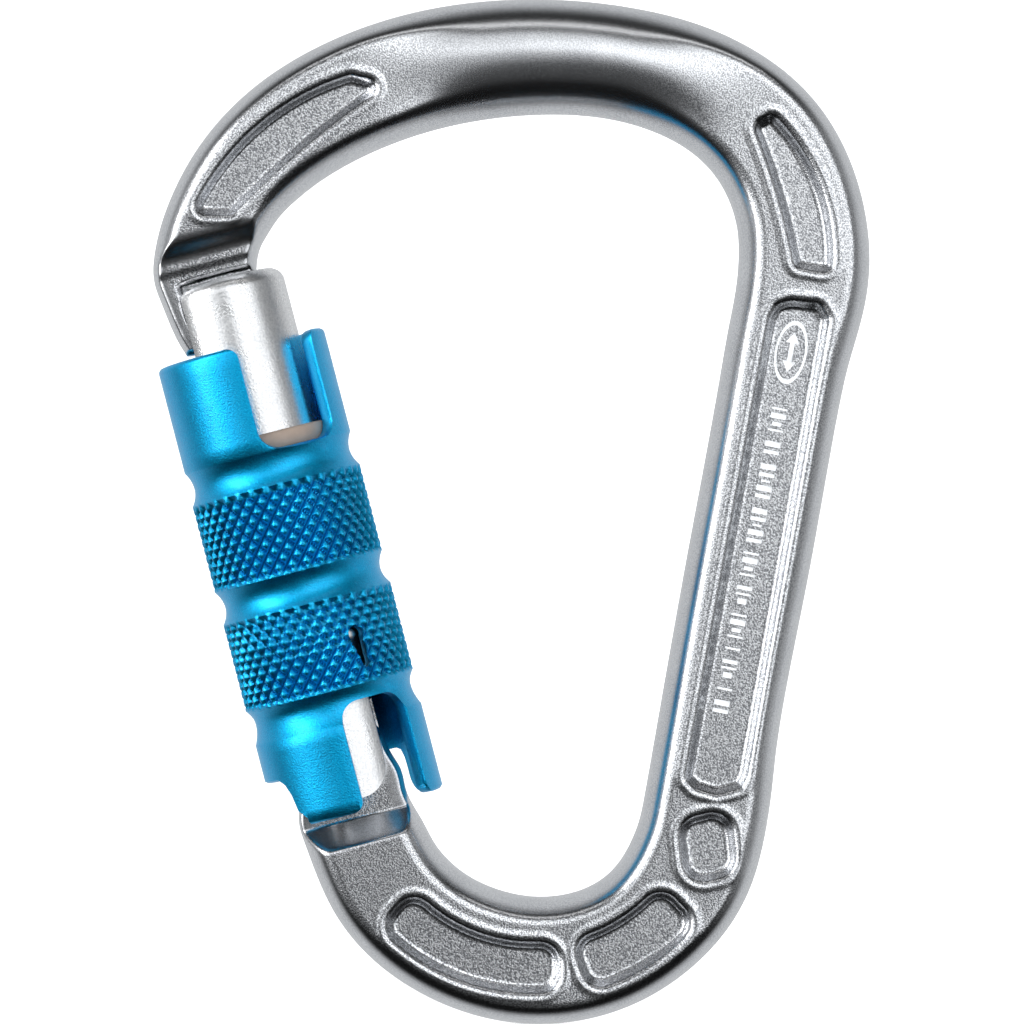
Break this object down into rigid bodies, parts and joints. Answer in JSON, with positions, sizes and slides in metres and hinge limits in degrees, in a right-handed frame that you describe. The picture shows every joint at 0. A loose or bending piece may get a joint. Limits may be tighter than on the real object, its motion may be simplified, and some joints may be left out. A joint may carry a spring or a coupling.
{
  "type": "locking carabiner",
  "caption": "Pear-shaped forged climbing carabiner with a sprung gate and a knurled auto-locking sleeve.",
  "frame": {"origin": "inner apex of the wide bow, on the mid-plane, where a hanger or a rope rests", "axes": "+Z from the narrow bow to the wide bow, +X from the gate to the spine, +Y through the thickness"},
  "size_m": [0.0787, 0.019, 0.1126],
  "materials": {
    "forged_aluminium": "tumbled bright, grainy in the pockets",
    "gate_aluminium": "satin bright",
    "blue_anodised": "satin blue anodised",
    "pin_steel": "ground",
    "spring_steel": "drawn wire",
    "ring_plastic": "matt taupe"
  },
  "bodies": {
    "body": {"frame": "forged_aluminium"},
    "gate_arm": {"gate": "gate_aluminium", "hinge_rivet": "pin_steel", "gate_spring": "spring_steel", "guide_pin": "pin_steel", "guide_ring": "ring_plastic"},
    "plunger": {"gate_plunger": "pin_steel"},
    "spring_carrier": {"sleeve_spring": "spring_steel"},
    "sleeve": {"lock_sleeve": "blue_anodised"}
  },
  "joints": [
    {"name": "gate_hinge", "type": "hinge", "parent": "body", "child": "gate_arm", "pos_m": [-0.0214, 0, -0.0704], "axis": [0, 1, 0], "range_deg": [0, 24], "stiffness_Nm_per_rad": 0.35, "springref_deg": -34.38},
    {"name": "gate_plunger_slide", "type": "slide", "parent": "gate_arm", "child": "plunger", "axis": [-0.2521, 0, 0.9677], "range_m": [0, 0.0008], "deforming": ["gate_spring"]},
    {"name": "sleeve_turn", "type": "hinge", "parent": "gate_arm", "child": "spring_carrier", "pos_m": [-0.0214, 0, -0.0704], "axis": [-0.2521, 0, 0.9677], "range_deg": [-120, 0]},
    {"name": "sleeve_lift", "type": "slide", "parent": "spring_carrier", "child": "sleeve", "axis": [-0.2521, 0, 0.9677], "range_m": [0, 0.004], "stiffness_N_per_m": 800, "springref_m": -0.004, "deforming": ["sleeve_spring"]}
  ],
  "couplings": [
    {"joint": "gate_plunger_slide", "follows": "gate_hinge", "m_per_rad": 0.0019099},
    {"joint": "sleeve_turn", "follows": "gate_hinge", "ratio": -5}
  ]
}
